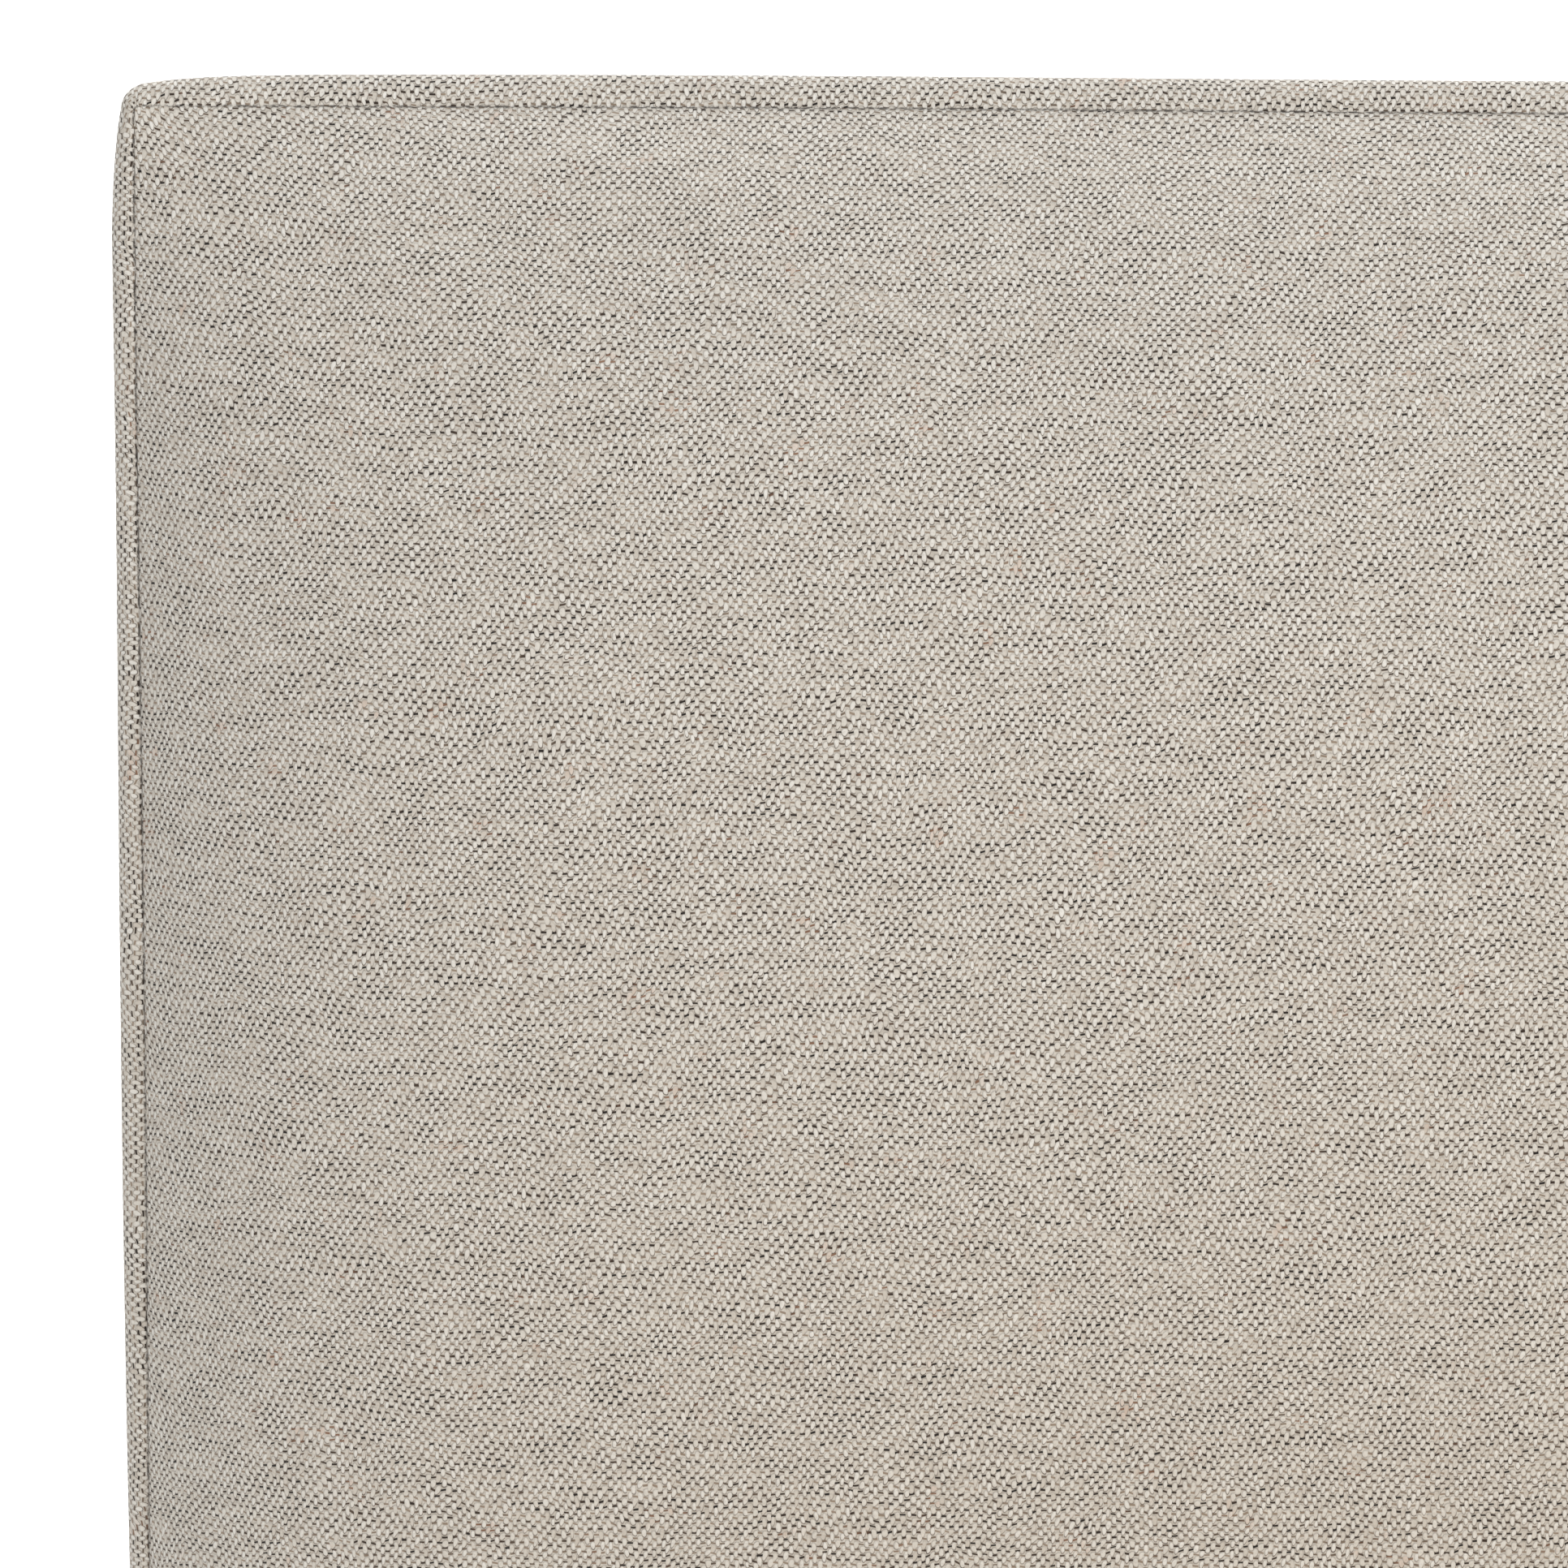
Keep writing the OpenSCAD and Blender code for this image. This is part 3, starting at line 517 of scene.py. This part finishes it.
    # Painted shade: each float's shadow darkens the weft round it, most of all below
    below = g.math("MULTIPLY_ADD", g.smooth(wy, 0.10, -0.22), 0.55, 0.30)
    below = g.math("MULTIPLY", below, g.math("MULTIPLY_ADD", gap, 0.70, 0.60))
    side = g.mix(g.math("MULTIPLY", g.smooth(far, 2.1, 1.1), below), side, rgb(72, 58, 46))
    # A few yarns are tan or reddish
    spot = g.smooth(g.noise(g.vector(x, y, 0.31), 75.0, 2.0), 0.60, 0.72)
    fleck = g.math("MULTIPLY", spot, g.smooth(gap, 0.45, 0.6))
    weft = g.mix(g.math("MULTIPLY", fleck, 0.75), weft, rgb(140, 103, 80))
    warp = g.mix(g.math("MULTIPLY_ADD", chance, 0.75, 0.0), rgb(230, 227, 220), rgb(208, 202, 191))
    warp = g.mix(g.math("MULTIPLY", g.smooth(third, 0.8, 0.95), 0.5), warp, rgb(190, 180, 167))
    warp = g.mix(g.math("MULTIPLY", heather, 0.16), warp, rgb(190, 182, 170))
    # Painted shade: each float turns darker towards its edge, where it rounds down into the weave
    warp = g.mix(g.math("MULTIPLY", g.smooth(far, 0.25, 1.1), 0.32), warp, rgb(164, 154, 141))
    blush = g.math("MULTIPLY", spot, g.smooth(other, 0.7, 0.8))
    warp = g.mix(g.math("MULTIPLY", blush, 0.35), warp, rgb(196, 160, 136))
    # Loose fibres over the pale yarns
    fuzz = g.smooth(g.noise(g.vector(x, y, 0.5), 1100.0, 2.0, 0.7), 0.45, 0.75)
    fuzz = g.math("MULTIPLY", fuzz, 0.30)
    side = g.mix(fuzz, side, rgb(112, 99, 85))
    warp = g.mix(fuzz, warp, rgb(146, 135, 122))
    colour = g.mix(dash, side, weft)
    colour = g.mix(oval, colour, warp)
    # The line of the seam: painted shade where the cover turns into its groove, darker at its stitches
    stitch = g.smooth(g.noise(g.vector(x, y, 0.9), 420.0, 1.0), 0.42, 0.60)
    painted_seam_shade = g.smooth(g.attribute("seam", "Fac"), 0.75 * MM, 0.15 * MM)
    painted_seam_shade = g.math("MULTIPLY", painted_seam_shade, g.math("MULTIPLY_ADD", stitch, 0.78, 0.10))
    colour = g.mix(painted_seam_shade, colour, rgb(50, 41, 34))
    dome = g.math("SQRT", g.math("MAXIMUM", g.math("SUBTRACT", 1.25, far), 0.0))
    fibre = g.noise(g.vector(g.math("MULTIPLY", x, 9000.0), g.math("MULTIPLY", y, 3500.0)), 1.0, 2.0)
    height = g.math("MULTIPLY_ADD", fibre, 0.12, dome)
    return g.finish(colour, 0.92, g.bump(height, 0.20 * MM), sheen_weight=0.15, sheen_roughness=0.5)


def wood(name, pale, dark, axis, ring_scale=7.0, roughness=0.55, coat=0.0):
    """Straight-grained timber along axis 0, 1 or 2, with growth rings, fine pores and a few darker streaks."""
    g = Graph(name)
    place = g.node("ShaderNodeTexCoord", "Object")
    parts = list(g.split(place))
    stretched = [g.math("MULTIPLY", p, 0.06 if i == axis else 1.0) for i, p in enumerate(parts)]
    along = g.vector(*stretched)
    warped = g.noise(along, 14.0, 3.0)
    across = parts[(axis + 1) % 3]
    depth = parts[(axis + 2) % 3]
    ring = g.math("ADD", g.math("MULTIPLY", across, ring_scale * 9), g.math("MULTIPLY", depth, ring_scale * 5))
    ring = g.math("FRACT", g.math("MULTIPLY_ADD", warped, 5.0, ring))
    late = g.math("POWER", ring, 3.0)
    pores = g.noise(along, 900.0, 2.0)
    streak = g.smooth(g.noise(along, 30.0, 2.0), 0.5, 0.8)
    share = g.math("MULTIPLY_ADD", late, 0.55, g.math("MULTIPLY", streak, 0.35))
    share = g.math("MULTIPLY_ADD", pores, 0.25, share)
    colour = g.mix(share, pale, dark)
    rough = g.math("MULTIPLY_ADD", pores, 0.18, roughness - 0.09)
    height = g.math("MULTIPLY_ADD", late, 0.3, pores)
    return g.finish(colour, rough, g.bump(height, 0.12 * MM, 0.5), coat_weight=coat)


def metal():
    """Zinc plate with a faint spangle and fine scratches."""
    g = Graph("Zinc")
    place = g.node("ShaderNodeTexCoord", "Object")
    scratches = g.noise(place, 700.0, 3.0)
    spangle = g.node("ShaderNodeTexVoronoi", "Distance", sockets={"Vector": place, "Scale": 260.0})
    colour = g.mix(g.math("MULTIPLY", spangle, 0.8), rgb(205, 205, 208), rgb(160, 162, 168))
    rough = g.math("MULTIPLY_ADD", scratches, 0.25, 0.25)
    return g.finish(colour, rough, g.bump(scratches, 0.02 * MM, 0.4), metallic=1.0)


def plastic():
    """Black moulded nylon, a little scuffed."""
    g = Graph("Nylon")
    place = g.node("ShaderNodeTexCoord", "Object")
    grain = g.noise(place, 2500.0, 2.0)
    scuffs = g.smooth(g.noise(place, 120.0, 3.0), 0.55, 0.8)
    colour = g.mix(scuffs, rgb(30, 30, 31), rgb(58, 57, 56))
    rough = g.math("MULTIPLY_ADD", grain, 0.25, 0.4)
    return g.finish(colour, rough, g.bump(grain, 0.05 * MM, 0.6))


def foam():
    """Cream open-cell foam."""
    g = Graph("Foam")
    place = g.node("ShaderNodeTexCoord", "Object")
    cells = g.node("ShaderNodeTexVoronoi", "Distance", sockets={"Vector": place, "Scale": 900.0})
    # Painted shade: darker in the middle of each cell, where its hollow is
    colour = g.mix(cells, rgb(222, 208, 160), rgb(247, 239, 212))
    return g.finish(colour, 0.95, g.bump(cells, 0.4 * MM, 0.8))


RIB_PITCH, YARN_PITCH = 2.2 * MM, 1.5 * MM


def webbing():
    """Black woven strap: ribs across it with a twill step."""
    g = Graph("Webbing")
    place = g.node("ShaderNodeTexCoord", "Object")
    x, y, _ = g.split(place)
    ribs = g.math("SINE", g.math("MULTIPLY", y, 2 * math.pi / RIB_PITCH))
    yarns = g.math("SINE", g.math("ADD", g.math("MULTIPLY", x, 2 * math.pi / YARN_PITCH),
                                  g.math("MULTIPLY", y, math.pi / RIB_PITCH)))
    height = g.math("MULTIPLY", ribs, yarns)
    # Painted shade and highlight: darker down between the ribs and yarns, lighter on their tops
    colour = g.mix(g.math("MULTIPLY_ADD", height, 0.5, 0.5), rgb(22, 22, 24), rgb(62, 62, 66))
    return g.finish(colour, 0.85, g.bump(height, 0.2 * MM))


TWEED = tweed()
FOAM = foam()
ZINC = metal()
NYLON = plastic()
WEBBING = webbing()
PINE_PALE, PINE_DARK = rgb(226, 193, 142), rgb(176, 128, 76)
PINE = [wood(f"Pine {a}", PINE_PALE, PINE_DARK, i) for i, a in enumerate("xyz")]
SLAT = wood("Slat wood", rgb(232, 203, 155), rgb(190, 146, 94), 0, 5.0)
PLY = [wood(f"Plywood {a}", rgb(214, 184, 138), rgb(168, 128, 84), i, 3.0) for i, a in enumerate("xyz")]
WALNUT = wood("Dark wood", rgb(92, 60, 41), rgb(38, 24, 16), 2, 11.0, 0.38, 0.3)

# ---- The headboard ----

HEAD_BULGE, FOOT_BULGE = 9 * MM, 7 * MM     # the most that a face's foam pushes its cover out
HEAD_CORE, FOOT_CORE = HEAD_CROWN - HEAD_BULGE, FOOT_CROWN - FOOT_BULGE
SHY = 0.1 * MM           # a cover's surface lies this far inside its CAD face
APRON_SIDE = 8 * MM      # the apron reaches this far past the posts
APRON_TOP = 2 * MM       # and ends this far below the padded face
BOX_LOW_N = -0.2 * MM    # the boxing's front edge below the padded face
LINING_OUT = 1 * MM      # a lining stands this far out past the boxing's seam

head_face = padded_face("headboard_face_cover", HEAD, FACE_LOW, 0.0, 1, HEAD_CROWN, reach_scale=1.0,
                        columns=170, rows=96, cap=HEAD_BULGE)
finish_piece(head_face, TWEED, "head_face_cover")
head_foam = padded_face("headboard_foam_pad", HEAD, FACE_LOW, 0.0, 1, HEAD_CORE, reach_scale=1.1,
                        columns=90, rows=50, inset=COVER)
finish_piece(head_foam, FOAM, "head_foam")
head_box = boxing("headboard_boxing", HEAD, PANEL_LOW, SEAM_N, -HEAD_DEPTH, low_n=BOX_LOW_N)
finish_piece(head_box, TWEED, "head_boxing_cover")
apron = flat_cover("headboard_apron", HEAD, PANEL_LOW, FACE_LOW - APRON_TOP, HEAD.half_width + APRON_SIDE,
                   0.0, APRON - SHY, 1)
finish_piece(apron, TWEED, "head_apron_cover")
head_back = flat_cover("headboard_back_cover", HEAD, PANEL_LOW, HEAD.top + SEAM_OUT, HEAD.half_width + SEAM_OUT,
                       -HEAD_DEPTH + LINING, LINING + LINING_OUT, -1)
finish_piece(head_back, TWEED, "head_back_cover")

# ---- The footboard ----

foot_face = padded_face("footboard_outer_cover", FOOT, PANEL_LOW, -FOOT_DEPTH, -1, FOOT_CROWN, reach_scale=0.55,
                        columns=150, rows=64, cap=FOOT_BULGE)
finish_piece(foot_face, TWEED, "foot_outer_cover")
foot_foam = padded_face("footboard_foam_pad", FOOT, PANEL_LOW, -FOOT_DEPTH, -1, FOOT_CORE, reach_scale=0.6,
                        columns=80, rows=40, inset=COVER)
finish_piece(foot_foam, FOAM, "foot_foam")
foot_box = boxing("footboard_boxing", FOOT, PANEL_LOW, LINING - LINING_OUT, -FOOT_DEPTH - SEAM_N)
finish_piece(foot_box, TWEED, "foot_boxing_cover")
foot_inner = flat_cover("footboard_inner_cover", FOOT, PANEL_LOW, FOOT.top + SEAM_OUT, FOOT.half_width + SEAM_OUT,
                        0.0, LINING - SHY, 1)
finish_piece(foot_inner, TWEED, "foot_inner_cover")

# ---- Side rails ----

RAIL_ROUND, LIP_ROUND = 9 * MM, 3 * MM
RAIL_BELLY = 5 * MM      # the outer side swells by this much at mid-height
RAIL_GAP = 0.3 * MM      # between a cover and its board or its neighbours
SLAT_GAP = 2 * MM        # the cover's lip ends this far above the slats
RAIL_BULGE, RAIL_PRESSURE = 3 * MM, 2.0
NEAR_END = np.array([0.5, 1.5, 3, 6, 10]) * MM   # extra lines of the mesh near a rail's ends
TUCK, TUCK_REACH = 0.55, 4 * MM                  # share of the padding pulled in at the ends, and how far along


def rail_outside(inner, board_in, outer, lip_z, low, high):
    """Outline (x, z) of a rail's padded cover, from inside its lip round the outside to under its board."""
    r, lip = RAIL_ROUND, LIP_ROUND
    turn = np.linspace(0, np.pi / 2, 9)
    belly = np.linspace(0, 1, 18)[1:-1]
    points = [(inner, lip_z), (inner, (lip_z + high) / 2)]
    points += [(inner + lip * (1 - math.cos(t)), high - lip * (1 - math.sin(t))) for t in turn]
    points += [(outer - r + r * math.sin(t), high - r + r * math.cos(t)) for t in turn]
    points += [(outer + RAIL_BELLY * math.sin(math.pi * b), high - r - (high - low - 2 * r) * b) for b in belly]
    points += [(outer - r + r * math.cos(t), low + r - r * math.sin(t)) for t in turn]
    return points + [(board_in, low)]


def rail_cover(name, node, side):
    """A rail's padded cover, whose padding is pulled in at both ends. side is -1 on the left and 1 on the right."""
    low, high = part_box(node)
    board_low, board_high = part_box(node.replace("cover", "board"))
    inner, outer = sorted((abs(low.x), abs(high.x)))
    board_in, board_out = sorted((abs(board_low.x), abs(board_high.x)))
    lip_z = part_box("slat_1")[1].z + SLAT_GAP
    outside = rail_outside(inner, board_in, outer, lip_z, low.z, high.z)
    near, far = board_in - RAIL_GAP, board_out + RAIL_GAP
    under, over = board_low.z - RAIL_GAP, board_high.z + RAIL_GAP
    profile = np.array(outside + [(board_in, under), (far, under), (far, over), (near, over), (near, lip_z)])
    y_low, y_high = low.y + RAIL_GAP, high.y - RAIL_GAP
    y = np.sort(np.concatenate([eased(y_low, y_high, 130, 0.6), y_low + NEAR_END, y_high - NEAR_END]))[:, None]
    end_d = np.minimum(y - y_low, y_high - y)
    pull = 1 - TUCK * np.exp(-end_d / TUCK_REACH)
    core = np.stack([np.clip(profile[:, 0], near, far), np.clip(profile[:, 1], under, over)], -1)
    drawn = core[None] + (profile - core)[None] * pull[:, :, None]
    points = np.stack([side * drawn[..., 0], np.broadcast_to(y, drawn.shape[:2]), drawn[..., 1]], -1)
    rows, columns = points.shape[:2]
    faces = grid_faces(rows, columns, closed=True, turned=side > 0)
    pinned = np.ones((rows, columns), bool)
    pinned[:, 2:len(outside) - 1] = end_d <= NEAR_END[-1]
    points = inflate(name + "_sim", points, faces, pinned, RAIL_BULGE, RAIL_PRESSURE)
    across = lengths(points, 1)
    weave = np.stack([lengths(points, 0), across, 0 * across], -1)
    faces += end_caps(rows, columns, side > 0)
    finish_piece(make_mesh(name, points, faces, weave), TWEED, node)


rail_cover("side_rail_cover_left", "rail_cover_left", -1)
rail_cover("side_rail_cover_right", "rail_cover_right", 1)

# ---- CAD nodes that stay ----


WELD_DISTANCE, BEVEL_ANGLE = 1e-5, math.radians(40)


def paint(obj, material, bevel):
    """Give a CAD node its material, and soften its edges where it has a bevel."""
    for slot in obj.material_slots:
        slot.material = material
    if bevel:
        weld = obj.modifiers.new("Weld", "WELD")
        weld.merge_threshold = WELD_DISTANCE
        rounded = obj.modifiers.new("Bevel", "BEVEL")
        rounded.width, rounded.segments, rounded.angle_limit = bevel, 3, BEVEL_ANGLE
        rounded.limit_method = "ANGLE"


# Part of a node's name, its material and its bevel; the first that fits counts
LOOKS = (
    ("_block_", WALNUT, 1.5 * MM),
    ("slat_webbing", WEBBING, 0),
    ("slat_", SLAT, 1.5 * MM),
    ("head_post", PINE[2], 1.0 * MM),
    ("foot_post", PINE[2], 1.0 * MM),
    ("center_leg", PINE[2], 1.0 * MM),
    ("ledger", PINE[1], 1.0 * MM),
    ("center_beam", PINE[1], 1.0 * MM),
    ("top_rail", PINE[0], 0),
    ("bottom_rail", PINE[0], 0),
    ("rail_board", PLY[1], 0),
    ("skin", PLY[0], 0),
    ("ribs", PLY[2], 0),
    ("floor_glides", NYLON, 0),
    ("leveler_pad", NYLON, 0),
    ("", ZINC, 0),
)

for node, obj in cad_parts.items():
    if not obj.hide_render:
        paint(obj, *next(look[1:] for look in LOOKS if look[0] in node))

# ---- The studio ----

# The camera looks down by PITCH and across by YAW, at a point on the headboard's padded face
PITCH, YAW = math.radians(20.56), math.radians(0.53)
DISTANCE = 2.92
LENS = 201
AIM_IN, AIM_DOWN, AIM_OUT = 0.2199, 0.2232, 85 * MM   # from the headboard's upper left corner
aim = HEAD.point(-HEAD.half_width + AIM_IN, HEAD.top - AIM_DOWN, AIM_OUT)
back = np.array([math.sin(YAW) * math.cos(PITCH), -math.cos(YAW) * math.cos(PITCH), math.sin(PITCH)])
camera = bpy.data.objects.new("Camera", bpy.data.cameras.new("Camera"))
camera.data.lens = LENS
camera.data.clip_end = 200
camera.location = Vector(aim + DISTANCE * back)
camera.rotation_mode = "QUATERNION"
camera.rotation_quaternion = Vector(-back).to_track_quat("-Z", "Y")
bpy.context.scene.collection.objects.link(camera)
bpy.context.scene.camera = camera

FLOOR_HALF = 40.0
floor_mesh = bpy.data.meshes.new("Floor")
floor_mesh.from_pydata([(x * FLOOR_HALF, y * FLOOR_HALF, 0) for x, y in ((-1, -1), (1, -1), (1, 1), (-1, 1))],
                       [], [(0, 1, 2, 3)])
floor = bpy.data.objects.new("Floor", floor_mesh)
bpy.context.scene.collection.objects.link(floor)
pale = Graph("Studio floor")
floor.data.materials.append(pale.finish((0.93, 0.93, 0.93, 1), 0.8, emission_color=(1, 1, 1, 1),
                                        emission_strength=0.20))

world = bpy.data.worlds.new("Studio")
world.use_nodes = True
world.node_tree.nodes["Background"].inputs["Color"].default_value = (1, 1, 1, 1)
world.node_tree.nodes["Background"].inputs["Strength"].default_value = 0.66
bpy.context.scene.world = world


def area_light(name, place, target, size, power):
    """A square light of so many metres and watts that points at its target."""
    light = bpy.data.objects.new(name, bpy.data.lights.new(name, "AREA"))
    light.data.shape, light.data.size, light.data.energy = "SQUARE", size, power
    light.location = place
    light.rotation_mode = "QUATERNION"
    light.rotation_quaternion = (Vector(target) - Vector(place)).to_track_quat("-Z", "Y")
    light.visible_camera = False
    bpy.context.scene.collection.objects.link(light)


area_light("Key", (2.4, -2.4, 3.8), (-0.2, 0.8, 0.8), 2.6, 122)
area_light("Fill", (1.4, -5.0, 2.4), (0, 0.4, 0.6), 3.0, 25)
area_light("Back", (-1.0, 5.2, 4.2), (0, 2.8, 0), 3.5, 200)
bpy.context.scene.view_settings.view_transform = "Standard"
